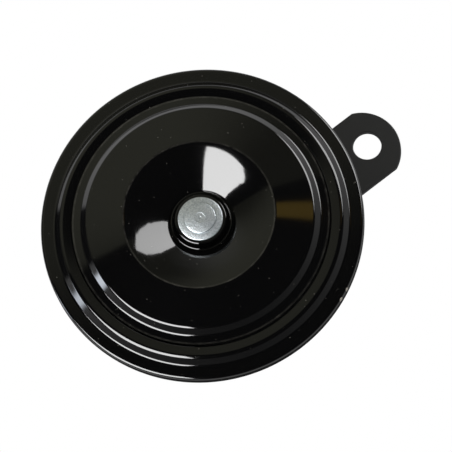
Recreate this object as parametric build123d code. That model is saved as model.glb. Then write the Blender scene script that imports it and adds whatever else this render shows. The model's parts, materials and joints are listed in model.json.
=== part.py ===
from build123d import *
import math
import os

# Disc-type car horn on a flat mounting strap. All sizes are in millimetres.
#
# Every piece is modelled in the horn's own frame: the horn's axis is Z, +Z comes out of the front, +Y is
# up along the strap, and Z = 0 is the flat band of the front ring. Finished pieces are stood up, so that
# the front faces -Y and the strap rises along +Z, with the origin at the centre of the strap's bolt hole.
#
# Heights named *_height are measured forward from the flat band, and *_depth backward from it.

# Front ring: one pressed sheet, hemmed round the housing's flange
ring_radius = 46.5
ring_sheet = 0.9
ring_edge_bend = 1.2
hem_width = 3.5
hem_bend = 1.4
band_width = 4.16
band_bend = 0.7
bead_outer_run = 2.42
bead_inner_run = 1.92
bead_peak_height = 4.38
bead_bend = 1.15
lip_width = 0.7
lip_depth = 0.8
lip_bend = 0.8

# Diaphragm and its gaskets
diaphragm_sheet = 0.4
diaphragm_dish = 1.5
diaphragm_bend = 6.0
dish_edge_gap = 0.7
dish_floor_radius = 12.0
rear_gasket_sheet = 0.5
front_gasket_width = 2.0
rear_gasket_width = 4.0

# Tone disc: pressed sheet with a stepped edge, a bowl and a raised hub
disc_sheet = 1.2
disc_edge_gap = 0.5
disc_edge_height = 3.0
disc_lip_width = 2.6
disc_root_height = 2.5
disc_step_run = 0.55
disc_shoulder_height = 6.9
bowl_radius = 21.9
bowl_rim_height = 8.7
bowl_shoulder_width = 2.3
bowl_shoulder_height = 7.9
bowl_knee_width = 3.2
bowl_knee_height = 3.9
hub_foot_radius = 9.0
hub_foot_height = 1.2
hub_radius = 7.4
hub_height = 3.3
disc_bends = (0.8, 2.9, 1.6, 10.0, 18.0, 0.8, 1.3)

# Armature, its riveted stem and what the stem clamps together
stem_radius = 3.0
stem_head_radius = 4.5
stem_head_height = 0.85
stem_head_bevel = 0.25
dimple_radius = 1.4
dimple_depth = 0.5
collar_radius = 6.5
collar_thickness = 0.6
collar_bevel = 0.3
spacer_radius = 5.5
backing_washer_radius = 9.0
backing_washer_thickness = 1.0
armature_radius = 8.5
armature_collar_radius = 11.0
armature_collar_thickness = 2.0
armature_bevel = 0.4
pusher_bush_width = 2.0
pusher_bush_thickness = 1.5
air_gap = 0.9

# Housing: one deep-drawn sheet with a clamping flange and one step
housing_sheet = 1.0
flange_width = 3.5
can_mouth_draft = 0.7
can_step_depth = 20.2
step_width = 10.5
can_end_draft = 0.4
can_end_depth = 37.8
can_mouth_bend = 1.5
can_step_bend = 2.5
can_root_bend = 1.0
can_end_bend = 3.0

# Magnet: pole core with its stud, yoke plate, bobbin and winding
core_radius = 8.5
core_setback = 0.6
core_bevel = 0.5
stud_radius = 4.0
stud_projection = 2.1
stud_bevel = 0.6
yoke_thickness = 1.6
yoke_edge_gap = 0.5
armature_side_gap = 0.7
yoke_rivet_inset = 4.6
yoke_rivet_angles = (30, 150, 270)
rivet_shank_radius = 1.6
rivet_head_radius = 2.8
rivet_head_height = 0.8
rivet_head_bevel = 0.35
coil_seat_thickness = 1.0
coil_seat_width = 4.5
bobbin_bore_gap = 0.3
bobbin_wall = 1.5
bobbin_flange_thickness = 1.2
bobbin_flange_margin = 1.2
winding_side_gap = 8.3
lead_radius = 0.5
lead_inset = 1.3
lead_hole_radius = 1.2
lead_bend = 1.5
lead_rise = 2.0

# Contact breaker on the yoke plate: a riveted stack of insulators, leaf spring and fixed arm
breaker_angle = 180.0
breaker_to_adjuster = 9.0
breaker_length = 10.0
breaker_width = 10.0
rear_insulator_thickness = 1.5
middle_insulator_thickness = 2.0
front_insulator_thickness = 0.8
leaf_sheet = 0.3
leaf_width = 7.0
leaf_overlap = 1.2
bush_to_leaf_gap = 0.2
arm_sheet = 1.0
arm_width = 7.0
arm_tail_margin = 0.5
bush_to_contact = 5.0
contact_radius = 2.0
moving_contact_height = 0.9
breaker_rivet_spacing = 5.0
breaker_rivet_radius = 1.1
breaker_rivet_head_radius = 1.9
adjuster_inset = 5.6
adjuster_radius = 2.0
adjuster_head_radius = 3.4
adjuster_head_height = 2.4
adjuster_slot_width = 1.0
adjuster_slot_depth = 1.2
adjuster_slot_angle = 25.0
seal_width = 1.3
seal_height = 0.9

# Terminals on the step of the can
terminal_angle = 225.0
terminal_block_span = 54.0
terminal_block_gap = 0.9
terminal_block_width = 8.7
terminal_block_height = 6.8
terminal_block_bevel = 0.8
terminal_inset = 4.3
terminal_rivet_edge_angle = 5.0
blade_to_rivet_angle = 10.0
blade_width = 6.3
blade_sheet = 0.8
blade_length = 9.0
blade_seat_height = 5.0
blade_bevel = 1.0
blade_hole_radius = 0.8
blade_hole_inset = 3.5
tab_width = 4.0
tab_height = 5.5
spigot_width = 6.4
spigot_thickness = 3.2
spigot_height = 1.0
slot_gap = 0.2
resistor_radius = 1.7
resistor_length = 7.0
resistor_bevel = 0.5
resistor_lead_radius = 0.35
resistor_height = 3.5
feed_lead_inset = 3.7
feed_lead_drop = 1.0
feed_lead_knee = (2.3, -6.2)
feed_lead_landing = 2.3
feed_lead_edge = 0.2

# Mounting strap and its fixings
strap_thickness = 2.0
strap_half_width = 10.9
strap_reach = 57.2
strap_end_radius = 12.0
strap_end_inset = 2.4
strap_edge_bevel = 0.3
bolt_hole_radius = 4.25
strap_spacer_thickness = 2.0
strap_spacer_radius = 9.0
washer_radius = 8.0
washer_thickness = 1.6
spring_washer_radius = 6.4
spring_washer_thickness = 2.0
spring_washer_split = 1.0
spring_washer_slant = 20.0
nut_across_flats = 13.0
nut_height = 6.5
nut_bevel_angle = 30.0

# Fits
fit_gap = 0.05
stud_hole_gap = 0.2
cut_margin = 1.0

# Levels along the axis, worked out from the sizes above
band_back = -ring_sheet
diaphragm_front = -(lip_depth + ring_sheet)
diaphragm_back = diaphragm_front - diaphragm_sheet
flange_front = diaphragm_back - rear_gasket_sheet
flange_back = flange_front - housing_sheet
hem_back = flange_back - ring_sheet
diaphragm_centre_front = diaphragm_front - diaphragm_dish
diaphragm_centre_back = diaphragm_centre_front - diaphragm_sheet
hub_back = hub_height - disc_sheet
collar_front = hub_height + collar_thickness
stem_front = collar_front + stem_head_height
armature_front = diaphragm_centre_back - backing_washer_thickness
bush_front = armature_front - armature_collar_thickness
bush_back = bush_front - pusher_bush_thickness
step_outside = -can_step_depth
step_inside = step_outside + housing_sheet
can_end_outside = -can_end_depth
can_end_inside = can_end_outside + housing_sheet
yoke_back = step_inside
yoke_front = yoke_back + yoke_thickness
core_front = yoke_back - core_setback
armature_back = core_front + air_gap
leaf_front = bush_back - bush_to_leaf_gap
leaf_back = leaf_front - leaf_sheet
breaker_base_front = leaf_back - rear_insulator_thickness
arm_back = leaf_front + middle_insulator_thickness
contact_face = leaf_front + moving_contact_height
arm_front = arm_back + arm_sheet
breaker_front = arm_front + front_insulator_thickness
bobbin_back = can_end_inside + coil_seat_thickness
strap_front = can_end_outside - strap_spacer_thickness
strap_back = strap_front - strap_thickness
washer_back = strap_back - washer_thickness
nut_front = washer_back - spring_washer_thickness
nut_back = nut_front - nut_height

# Radii that follow from the sizes above
lip_radius = ring_radius - band_width - bead_outer_run - bead_inner_run
opening_radius = lip_radius - lip_width
ring_inside_radius = ring_radius - max(hem_bend, ring_edge_bend)
disc_radius = opening_radius - disc_edge_gap
disc_root_radius = disc_radius - disc_lip_width
disc_shoulder_radius = disc_root_radius - disc_step_run
dish_edge_radius = opening_radius - dish_edge_gap
stem_hole_radius = stem_radius + fit_gap
stud_hole_radius = stud_radius + stud_hole_gap
can_mouth_radius = ring_inside_radius - flange_width
can_step_radius = can_mouth_radius - can_mouth_draft
can_rear_radius = can_step_radius - step_width
can_end_radius = can_rear_radius - can_end_draft
yoke_radius = can_step_radius - can_step_bend - yoke_edge_gap
bobbin_bore = core_radius + bobbin_bore_gap
bobbin_tube = bobbin_bore + bobbin_wall
winding_radius = can_end_radius - housing_sheet - winding_side_gap
bobbin_flange_radius = winding_radius + bobbin_flange_margin
lead_circle = winding_radius - lead_inset
rivet_hole_radius = rivet_shank_radius + fit_gap
yoke_rivet_circle = can_rear_radius + yoke_rivet_inset
adjuster_circle = can_rear_radius + adjuster_inset
breaker_circle = adjuster_circle - breaker_to_adjuster
arm_tail_radius = adjuster_circle + adjuster_radius + arm_tail_margin
bush_radius = armature_radius + pusher_bush_width
contact_circle = bush_radius + bush_to_contact
block_inner_radius = can_rear_radius + terminal_block_gap
block_outer_radius = block_inner_radius + terminal_block_width
terminal_circle = block_inner_radius + terminal_inset
terminal_rivet_offset_angle = terminal_block_span / 2 - terminal_rivet_edge_angle
blade_offset_angle = terminal_rivet_offset_angle - blade_to_rivet_angle


def turned(points):
    """Solid of revolution about the horn's axis, from the corners of half its section."""
    return revolve(Plane.XZ * make_face(Polyline(*points, close=True)), Axis.Z)


def pressed(points, bends, sheet):
    """Turned sheet of constant thickness, laid to the left of the bend points of one face."""
    face_line = FilletPolyline(*points, radius=bends)
    outline = offset(face_line, amount=sheet, side=Side.LEFT, closed=True)
    return revolve(Plane.XZ * make_face(outline.edges()), Axis.Z)


def ring(outer, inner, back, front):
    """Flat ring about the horn's axis between two levels."""
    return turned([(inner, back), (outer, back), (outer, front), (inner, front)])


def pin(radius, back, front):
    """Plain round bar on the Z axis between two levels."""
    return Pos(0, 0, back) * extrude(Circle(radius), front - back)


def block(length, width, back, front):
    """Rectangular block centred on the Z axis between two levels."""
    return Pos(0, 0, back) * extrude(Rectangle(length, width), front - back)


def rivet(shank, head, head_height, back, front):
    """Solid rivet on the Z axis that clamps what lies between two levels."""
    body = pin(shank, back, front)
    body += pin(head, back - head_height, back)
    body += pin(head, front, front + head_height)
    heads = body.edges().filter_by(GeomType.CIRCLE)
    outer_rims = [heads.sort_by(Axis.Z)[0], heads.sort_by(Axis.Z)[-1]]
    return chamfer(outer_rims, rivet_head_bevel)


def around(angle, radius=0.0):
    """Place at an angle about the horn's axis, with local X pointing outward."""
    return Rot(0, 0, angle) * Pos(radius, 0, 0)


def wire(points, radius, bend):
    """Round wire along straight runs joined by tangent bends."""
    path = FilletPolyline(*points, radius=bend)
    section = Plane(origin=path @ 0, z_dir=path % 0) * Circle(radius)
    return sweep(section, path)


def front_ring():
    points = [
        (ring_radius - hem_width, hem_back),
        (ring_radius, hem_back),
        (ring_radius, 0),
        (ring_radius - band_width, 0),
        (ring_radius - band_width - bead_outer_run, bead_peak_height),
        (lip_radius, -lip_depth),
        (opening_radius, -lip_depth),
    ]
    return pressed(points, [hem_bend, ring_edge_bend, band_bend, bead_bend, lip_bend], ring_sheet)


def front_gasket():
    return ring(ring_inside_radius, ring_inside_radius - front_gasket_width, diaphragm_front, band_back)


def rear_gasket():
    return ring(ring_inside_radius, ring_inside_radius - rear_gasket_width, flange_front, diaphragm_back)


def diaphragm():
    points = [
        (ring_inside_radius, diaphragm_front),
        (dish_edge_radius, diaphragm_front),
        (dish_floor_radius, diaphragm_centre_front),
        (stem_hole_radius, diaphragm_centre_front),
    ]
    return pressed(points, diaphragm_bend, diaphragm_sheet)


def tone_disc():
    points = [
        (disc_radius, disc_edge_height),
        (disc_root_radius, disc_root_height),
        (disc_shoulder_radius, disc_shoulder_height),
        (bowl_radius, bowl_rim_height),
        (bowl_radius - bowl_shoulder_width, bowl_shoulder_height),
        (hub_foot_radius + bowl_knee_width, bowl_knee_height),
        (hub_foot_radius, hub_foot_height),
        (hub_radius, hub_height),
        (stem_hole_radius, hub_height),
    ]
    return pressed(points, disc_bends, disc_sheet)


def disc_spacer():
    return ring(spacer_radius, stem_hole_radius, diaphragm_centre_front, hub_back)


def diaphragm_washer():
    return ring(backing_washer_radius, stem_hole_radius, armature_front, diaphragm_centre_back)


def stem_collar():
    collar = ring(collar_radius, stem_hole_radius, hub_height, collar_front)
    front_edges = collar.edges().filter_by(GeomType.CIRCLE).group_by(Axis.Z)[-1]
    return fillet(front_edges.sort_by(SortBy.RADIUS)[-1], collar_bevel)


def armature():
    """Armature, its collar and the stem whose end is riveted over and dimpled."""
    body = turned([
        (0, armature_back),
        (armature_radius - armature_bevel, armature_back),
        (armature_radius, armature_back + armature_bevel),
        (armature_radius, bush_front),
        (armature_collar_radius, bush_front),
        (armature_collar_radius, armature_front),
        (stem_radius, armature_front),
        (stem_radius, collar_front),
        (stem_head_radius, collar_front),
        (stem_head_radius, stem_front - stem_head_bevel),
        (stem_head_radius - stem_head_bevel, stem_front),
        (dimple_radius, stem_front),
        (0, stem_front - dimple_depth),
    ])
    return body


def pusher_bush():
    inner = armature_radius + fit_gap
    return ring(bush_radius, inner, bush_back, bush_front)


def terminal_sites(offset_angle):
    """Angles of a pair of features on either side of the terminal block's middle."""
    return [terminal_angle - offset_angle, terminal_angle + offset_angle]


def step_holes(back, front):
    """What passes through both the can's step and the yoke plate."""
    holes = []
    for angle in yoke_rivet_angles:
        holes.append(around(angle, yoke_rivet_circle) * pin(rivet_hole_radius, back, front))
    for angle in terminal_sites(terminal_rivet_offset_angle):
        holes.append(around(angle, terminal_circle) * pin(rivet_hole_radius, back, front))
    for angle in terminal_sites(blade_offset_angle):
        opening = block(spigot_thickness + 2 * slot_gap, spigot_width + 2 * slot_gap, back, front)
        holes.append(around(angle, terminal_circle) * opening)
    holes.append(around(breaker_angle, adjuster_circle) * pin(adjuster_radius + fit_gap, back, front))
    return holes


def rear_housing():
    points = [
        (stud_hole_radius, can_end_outside),
        (can_end_radius, can_end_outside),
        (can_rear_radius, step_outside),
        (can_step_radius, step_outside),
        (can_mouth_radius, flange_back),
        (ring_inside_radius, flange_back),
    ]
    bends = [can_end_bend, can_root_bend, can_step_bend, can_mouth_bend]
    can = pressed(points, bends, housing_sheet)
    return can - step_holes(step_outside - cut_margin, step_inside + cut_margin)


def pole_core():
    stud_end = nut_back - stud_projection
    return turned([
        (0, stud_end),
        (stud_radius - stud_bevel, stud_end),
        (stud_radius, stud_end + stud_bevel),
        (stud_radius, can_end_inside),
        (core_radius, can_end_inside),
        (core_radius, core_front - core_bevel),
        (core_radius - core_bevel, core_front),
        (0, core_front),
    ])


def lead_holes(back, front):
    """Where the winding's two leads come through the bobbin's flange and the yoke plate."""
    angles = (breaker_angle, terminal_angle - blade_offset_angle)
    return [around(angle, lead_circle) * pin(lead_hole_radius, back, front) for angle in angles]


def yoke_plate():
    plate = ring(yoke_radius, armature_radius + armature_side_gap, yoke_back, yoke_front)
    below = yoke_back - cut_margin
    above = yoke_front + cut_margin
    return plate - step_holes(below, above) - lead_holes(below, above)


def coil_seat_washer():
    return ring(bobbin_bore + coil_seat_width, bobbin_bore, can_end_inside, bobbin_back)


def coil_bobbin():
    bobbin = turned([
        (bobbin_bore, bobbin_back),
        (bobbin_flange_radius, bobbin_back),
        (bobbin_flange_radius, bobbin_back + bobbin_flange_thickness),
        (bobbin_tube, bobbin_back + bobbin_flange_thickness),
        (bobbin_tube, yoke_back - bobbin_flange_thickness),
        (bobbin_flange_radius, yoke_back - bobbin_flange_thickness),
        (bobbin_flange_radius, yoke_back),
        (bobbin_bore, yoke_back),
    ])
    return bobbin - lead_holes(yoke_back - bobbin_flange_thickness, yoke_back)


def coil_winding():
    back = bobbin_back + bobbin_flange_thickness
    return ring(winding_radius, bobbin_tube, back, yoke_back - bobbin_flange_thickness)


def coil_lead_terminal():
    """From the winding up through the yoke plate and out to the first terminal's tab."""
    start = yoke_back - bobbin_flange_thickness
    level = yoke_front + lead_rise
    tab_face = terminal_circle - blade_sheet / 2
    points = [(lead_circle, 0, start), (lead_circle, 0, level), (tab_face, 0, level)]
    return around(terminal_angle - blade_offset_angle) * wire(points, lead_radius, lead_bend)


def coil_lead_breaker():
    """Straight from the winding up to the leaf spring's root."""
    start = yoke_back - bobbin_flange_thickness
    return around(breaker_angle, lead_circle) * pin(lead_radius, start, leaf_back)


def feed_lead():
    """From the second terminal's tab round to the fixed arm's tail, set out with the breaker along X."""
    level = yoke_front + tab_height - feed_lead_drop
    angle = math.radians(terminal_angle + blade_offset_angle - breaker_angle)
    tab_face = terminal_circle - blade_sheet / 2
    turn = tab_face - feed_lead_inset
    tail_x = breaker_circle + breaker_length / 2 + feed_lead_landing
    tail_y = arm_width / 2 - lead_radius - feed_lead_edge
    points = [
        (tab_face * math.cos(angle), tab_face * math.sin(angle), level),
        (turn * math.cos(angle), turn * math.sin(angle), level),
        (tail_x - feed_lead_knee[0], tail_y - feed_lead_knee[1], level),
        (tail_x, tail_y, level),
        (tail_x, tail_y, arm_back),
    ]
    return around(breaker_angle) * wire(points, lead_radius, lead_bend)


def yoke_rivets():
    body = rivet(rivet_shank_radius, rivet_head_radius, rivet_head_height, step_outside, yoke_front)
    return [around(angle, yoke_rivet_circle) * body for angle in yoke_rivet_angles]


def breaker_rivet_sites():
    """Radii of the two rivets that hold the breaker's stack."""
    half = breaker_rivet_spacing / 2
    return [breaker_circle + half, breaker_circle - half]


def breaker_plate(length, width, back, front, centre=breaker_circle):
    """Plate of the breaker's stack with its two rivet holes."""
    plate = around(breaker_angle, centre) * block(length, width, back, front)
    for radius in breaker_rivet_sites():
        hole = pin(breaker_rivet_radius + fit_gap, back - cut_margin, front + cut_margin)
        plate -= around(breaker_angle, radius) * hole
    return plate


def breaker_base():
    return breaker_plate(breaker_length, breaker_width, yoke_front, breaker_base_front)


def breaker_insulators():
    levels = [(breaker_base_front, leaf_back), (leaf_front, arm_back), (arm_front, breaker_front)]
    return [breaker_plate(breaker_length, breaker_width, back, front) for back, front in levels]


def moving_contact_spring():
    """Leaf from the stack to just under the pusher bush, with its riveted contact."""
    outer_end = breaker_circle + breaker_length / 2
    inner_end = bush_radius - leaf_overlap
    length = outer_end - inner_end
    leaf = breaker_plate(length, leaf_width, leaf_back, leaf_front, (outer_end + inner_end) / 2)
    return leaf + around(breaker_angle, contact_circle) * pin(contact_radius, leaf_front, contact_face)


def fixed_contact_arm():
    inner_end = contact_circle - contact_radius
    length = arm_tail_radius - inner_end
    return breaker_plate(length, arm_width, arm_back, arm_front, (arm_tail_radius + inner_end) / 2)


def fixed_contact_tip():
    return around(breaker_angle, contact_circle) * pin(contact_radius, contact_face, arm_back)


def breaker_rivets():
    """Each is sunk into the rear of the base and headed over the front insulator."""
    rivets = []
    for radius in breaker_rivet_sites():
        body = pin(breaker_rivet_radius, yoke_front, breaker_front)
        body += pin(breaker_rivet_head_radius, breaker_front, breaker_front + rivet_head_height)
        rivets.append(around(breaker_angle, radius) * body)
    return rivets


def adjusting_screw():
    """Slotted screw through the step and the yoke plate, bearing on the fixed arm's tail."""
    head_back = step_outside - adjuster_head_height
    screw = pin(adjuster_radius, step_outside, arm_back)
    screw += pin(adjuster_head_radius, head_back, step_outside)
    slot_length = 3 * adjuster_head_radius
    slot = block(slot_length, adjuster_slot_width, head_back - cut_margin, head_back + adjuster_slot_depth)
    return around(breaker_angle, adjuster_circle) * (screw - Rot(0, 0, adjuster_slot_angle) * slot)


def adjusting_screw_seal():
    """Ring of sealing lacquer in the corner between the screw's head and the can."""
    inner = adjuster_head_radius + fit_gap
    return around(breaker_angle, adjuster_circle) * turned([
        (inner, step_outside),
        (inner, step_outside - seal_height),
        (inner + seal_width, step_outside),
    ])


def blade_slot(gap):
    """Blade and tab as they pass through the terminal block, with a gap all round."""
    seat = step_outside - terminal_block_height + blade_seat_height
    tip = step_outside - terminal_block_height - blade_length
    blade = block(blade_sheet + 2 * gap, blade_width + 2 * gap, tip - gap, seat + gap)
    tab = block(blade_sheet + 2 * gap, tab_width + 2 * gap, seat, yoke_front + tab_height)
    return blade + tab


def terminal_block():
    back = step_outside - terminal_block_height
    half_span = terminal_block_span / 2
    section = Plane.XZ * make_face(Polyline(
        (block_inner_radius, back),
        (block_outer_radius, back),
        (block_outer_radius, step_outside),
        (block_inner_radius, step_outside),
        close=True,
    ))
    body = Rot(0, 0, terminal_angle - half_span) * revolve(section, Axis.Z, terminal_block_span)
    body = chamfer(body.faces().sort_by(Axis.Z)[0].edges(), terminal_block_bevel)
    for angle in terminal_sites(blade_offset_angle):
        spigot = block(spigot_thickness, spigot_width, step_outside, yoke_front + spigot_height)
        body += around(angle, terminal_circle) * spigot
        body -= around(angle, terminal_circle) * blade_slot(fit_gap)
    for angle in terminal_sites(terminal_rivet_offset_angle):
        hole = pin(rivet_hole_radius, back - cut_margin, step_outside + cut_margin)
        body -= around(angle, terminal_circle) * hole
    return body


def terminal_blades():
    """Blade terminals with a pierced, bevelled end behind and a narrower tab inside."""
    tip = step_outside - terminal_block_height - blade_length
    blade = blade_slot(0)
    tip_edges = blade.faces().sort_by(Axis.Z)[0].edges().filter_by(Axis.X)
    blade = chamfer(tip_edges, blade_bevel)
    hole = Pos(0, 0, tip + blade_hole_inset) * Rot(0, 90, 0) * Cylinder(blade_hole_radius, 4 * blade_sheet)
    blade -= hole
    return [around(angle, terminal_circle) * blade for angle in terminal_sites(blade_offset_angle)]


def terminal_rivets():
    back = step_outside - terminal_block_height
    body = rivet(rivet_shank_radius, rivet_head_radius, rivet_head_height, back, yoke_front)
    return [around(angle, terminal_circle) * body for angle in terminal_sites(terminal_rivet_offset_angle)]


def suppression_resistor():
    """Resistor lying between the two tabs, soldered to their facing edges."""
    half_angle = math.radians(blade_offset_angle)
    chord_radius = terminal_circle * math.cos(half_angle)
    half_gap = terminal_circle * math.sin(half_angle) - tab_width / 2 * math.cos(half_angle)
    body = Cylinder(resistor_radius, resistor_length)
    body = chamfer(body.edges().filter_by(GeomType.CIRCLE), resistor_bevel)
    body += Cylinder(resistor_lead_radius, 2 * half_gap)
    raised = Pos(0, 0, yoke_front + resistor_height) * Rot(90, 0, 0) * body
    return around(terminal_angle, chord_radius) * raised


def mounting_bracket():
    """Flat strap: round at the stud, straight sides and a shallow arc beyond the bolt hole."""
    end_centre = strap_reach - strap_end_inset
    outline = Circle(strap_half_width)
    outline += Pos(0, strap_reach / 2) * Rectangle(2 * strap_half_width, strap_reach)
    end_zone = Pos(0, end_centre) * Circle(strap_end_radius)
    beyond = Pos(0, strap_reach) * Rectangle(2 * strap_half_width, 2 * strap_end_radius)
    outline += end_zone & beyond
    strap = Pos(0, 0, strap_back) * extrude(outline, strap_thickness)
    strap = chamfer(strap.faces().filter_by(Plane.XY).edges(), strap_edge_bevel)
    holes = pin(stud_hole_radius, strap_back, strap_front)
    holes += Pos(0, strap_reach, 0) * pin(bolt_hole_radius, strap_back, strap_front)
    return strap - holes


def bracket_spacer():
    return ring(strap_spacer_radius, stud_hole_radius, strap_front, can_end_outside)


def bracket_washer():
    return ring(washer_radius, stud_hole_radius, washer_back, strap_back)


def bracket_spring_washer():
    washer = ring(spring_washer_radius, stud_hole_radius, nut_front, washer_back)
    middle = (nut_front + washer_back) / 2
    split = Box(spring_washer_radius, spring_washer_split, 3 * spring_washer_thickness)
    return washer - Pos(spring_washer_radius, 0, middle) * Rot(spring_washer_slant, 0, 0) * split


def bracket_nut():
    corner_radius = nut_across_flats / math.sqrt(3)
    bevel = corner_radius - nut_across_flats / 2
    bevel_height = bevel * math.tan(math.radians(nut_bevel_angle))
    prism = Pos(0, 0, nut_back) * extrude(RegularPolygon(corner_radius, 6), nut_height)
    envelope = turned([
        (stud_radius + fit_gap, nut_back),
        (corner_radius - bevel, nut_back),
        (corner_radius, nut_back + bevel_height),
        (corner_radius, nut_front - bevel_height),
        (corner_radius - bevel, nut_front),
        (stud_radius + fit_gap, nut_front),
    ])
    return prism & envelope


def stand_up(piece):
    """Move a piece from the horn's frame to the part's frame."""
    strap_middle = (strap_front + strap_back) / 2
    return Rot(90, 0, 0) * Pos(0, -strap_reach, -strap_middle) * piece


def numbered(name, pieces):
    """Names for repeated pieces, counted from one."""
    return {f"{name}_{index}": piece for index, piece in enumerate(pieces, start=1)}


def all_pieces():
    pieces = {
        "front_ring": front_ring(),
        "front_gasket": front_gasket(),
        "rear_gasket": rear_gasket(),
        "diaphragm": diaphragm(),
        "rear_housing": rear_housing(),
        "tone_disc": tone_disc(),
        "stem_collar": stem_collar(),
        "armature": armature(),
        "pusher_bush": pusher_bush(),
        "disc_spacer": disc_spacer(),
        "diaphragm_washer": diaphragm_washer(),
        "pole_core": pole_core(),
        "yoke_plate": yoke_plate(),
        "coil_seat_washer": coil_seat_washer(),
        "coil_bobbin": coil_bobbin(),
        "coil_winding": coil_winding(),
        "coil_lead_terminal": coil_lead_terminal(),
        "coil_lead_breaker": coil_lead_breaker(),
        "feed_lead": feed_lead(),
        "breaker_base": breaker_base(),
        "moving_contact_spring": moving_contact_spring(),
        "fixed_contact_arm": fixed_contact_arm(),
        "fixed_contact_tip": fixed_contact_tip(),
        "adjusting_screw": adjusting_screw(),
        "adjusting_screw_seal": adjusting_screw_seal(),
        "terminal_block": terminal_block(),
        "suppression_resistor": suppression_resistor(),
        "mounting_bracket": mounting_bracket(),
        "bracket_spacer": bracket_spacer(),
        "bracket_washer": bracket_washer(),
        "bracket_spring_washer": bracket_spring_washer(),
        "bracket_nut": bracket_nut(),
    }
    pieces.update(numbered("yoke_rivet", yoke_rivets()))
    pieces.update(numbered("breaker_insulator", breaker_insulators()))
    pieces.update(numbered("breaker_rivet", breaker_rivets()))
    pieces.update(numbered("terminal_blade", terminal_blades()))
    pieces.update(numbered("terminal_rivet", terminal_rivets()))
    return pieces


os.makedirs("parts", exist_ok=True)
for node_name, piece in all_pieces().items():
    export_step(stand_up(piece), f"parts/{node_name}.step")
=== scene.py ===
"""Disc-type car horn on a flat mounting strap: pressed and turned pieces, paints, platings and studio."""

import json
import math

import bmesh
import bpy
from bpy.props import FloatProperty, FloatVectorProperty, PointerProperty
from mathutils import Matrix, Vector


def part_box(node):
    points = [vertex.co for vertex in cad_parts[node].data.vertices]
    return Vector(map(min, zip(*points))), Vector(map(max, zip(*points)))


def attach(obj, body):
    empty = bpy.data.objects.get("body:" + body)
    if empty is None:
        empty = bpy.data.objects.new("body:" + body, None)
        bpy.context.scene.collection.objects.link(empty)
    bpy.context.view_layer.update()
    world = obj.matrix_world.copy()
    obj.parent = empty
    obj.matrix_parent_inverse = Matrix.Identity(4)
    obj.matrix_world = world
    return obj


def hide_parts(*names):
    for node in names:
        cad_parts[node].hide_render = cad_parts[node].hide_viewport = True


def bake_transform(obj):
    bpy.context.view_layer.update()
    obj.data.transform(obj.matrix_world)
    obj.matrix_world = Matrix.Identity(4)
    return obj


bl_info = {
    "name": "Car horn",
    "version": (1, 0, 0),
    "blender": (4, 5, 0),
    "location": "View3D > Sidebar > Horn",
    "description": "Builds a disc-type car horn around its measured frame",
    "category": "Object",
}

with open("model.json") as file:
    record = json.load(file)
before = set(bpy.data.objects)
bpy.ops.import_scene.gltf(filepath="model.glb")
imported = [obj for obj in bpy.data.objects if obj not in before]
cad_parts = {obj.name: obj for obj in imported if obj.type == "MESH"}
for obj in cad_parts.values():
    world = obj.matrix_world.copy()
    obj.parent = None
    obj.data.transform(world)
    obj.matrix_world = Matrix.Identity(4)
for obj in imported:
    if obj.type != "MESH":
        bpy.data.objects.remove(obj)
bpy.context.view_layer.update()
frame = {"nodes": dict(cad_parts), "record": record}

MM = 0.001
TOUCH = 0.001 * MM
FRONT = Vector((0, -1, 0))
BACK = Vector((0, 1, 0))
UP = Vector((0, 0, 1))
FULL_TURN = 2 * math.pi
QUARTER_TURN = math.pi / 2
SPIN_STEPS = 240
SHARP_ANGLE = math.radians(32)

# Places read from the frame. Heights are measured forward from the front ring's flat band, in metres.
RING_LOW, RING_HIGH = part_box("front_ring")
RING_RADIUS = (RING_HIGH.x - RING_LOW.x) / 2
AXIS_Z = (RING_HIGH.z + RING_LOW.z) / 2
RING_SHEET = 0.9 * MM
BAND_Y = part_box("front_gasket")[0].y - RING_SHEET

# Levels and radii that several pieces share
HUB_HEIGHT = 3.3 * MM
STEM_RADIUS = 3.05 * MM
STUD_RADIUS = 4.2 * MM
CORE_RADIUS = 8.5 * MM
BLADE_RADIUS = 35.6 * MM
STEP_HEIGHT = -20.2 * MM
TERMINAL_ANGLE = math.radians(225)
TERMINAL_SPAN = math.radians(54)

# Enamel: refraction, roughness when clean and when matt, its peel, dust, the radii, share and width of its
# painted highlight lines, and its knocks
ENAMEL_IOR = 1.6
ENAMEL_ROUGH = (0.07, 0.6)
PEEL_HEIGHT = 0.0012 * MM
DUST_COVER = 0.25
# Painted highlight: pale lines of the dust colour on the bowl's rim crest and the disc's cut edge
HIGHLIGHT_LINE_RADII = (21.7 * MM, 36.7 * MM)
RIM_HIGHLIGHT_SHARE = 0.07
HIGHLIGHT_LINE_WIDTH = 0.35 * MM
KNOCK_RADIUS = 0.12 * MM
KNOCK_RAGGED = 0.9 * MM
RIM_KNOCKS = (Vector((41.7, -40.1, -36.9)) * MM, Vector((43.1, -40.3, -39.9)) * MM)

# Focal length in millimetres for each metre between the camera and the horn, and how much of the
# floor is seen as plain white, while the rest of it keeps the shadow
LENS_PER_METRE = 278.5
FLOOR_GLOW = 0.85

# Directions of what the enamel mirrors in the studio
WALL_SIDE = Vector((-0.957, 0, 0.291))
BRIGHT_WALL = Vector((-0.766, -0.643, 0))
WARM_LAMP = Vector((-0.017, -0.874, 0.487))
DARK_STAND = Vector((-0.743, 0, -0.669))
SMALL_WINDOW = Vector((-0.393, -0.12, -0.912))


def front_of(node):
    """Height of a node's foremost place."""
    return BAND_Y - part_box(node)[0].y


def back_of(node):
    """Height of a node's rearmost place."""
    return BAND_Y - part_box(node)[1].y


def radius_of(node):
    """Radius of a node that is turned about the horn's axis."""
    low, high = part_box(node)
    return (high.x - low.x) / 2


def middle_of(node):
    low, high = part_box(node)
    return (low + high) / 2


# Small helpers for placing, selecting and finishing


def at(radius, height, angle=0.0):
    """Point at a radius from the horn's axis and a height in front of the flat band."""
    return Vector((radius * math.cos(angle), BAND_Y - height, AXIS_Z + radius * math.sin(angle)))


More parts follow.
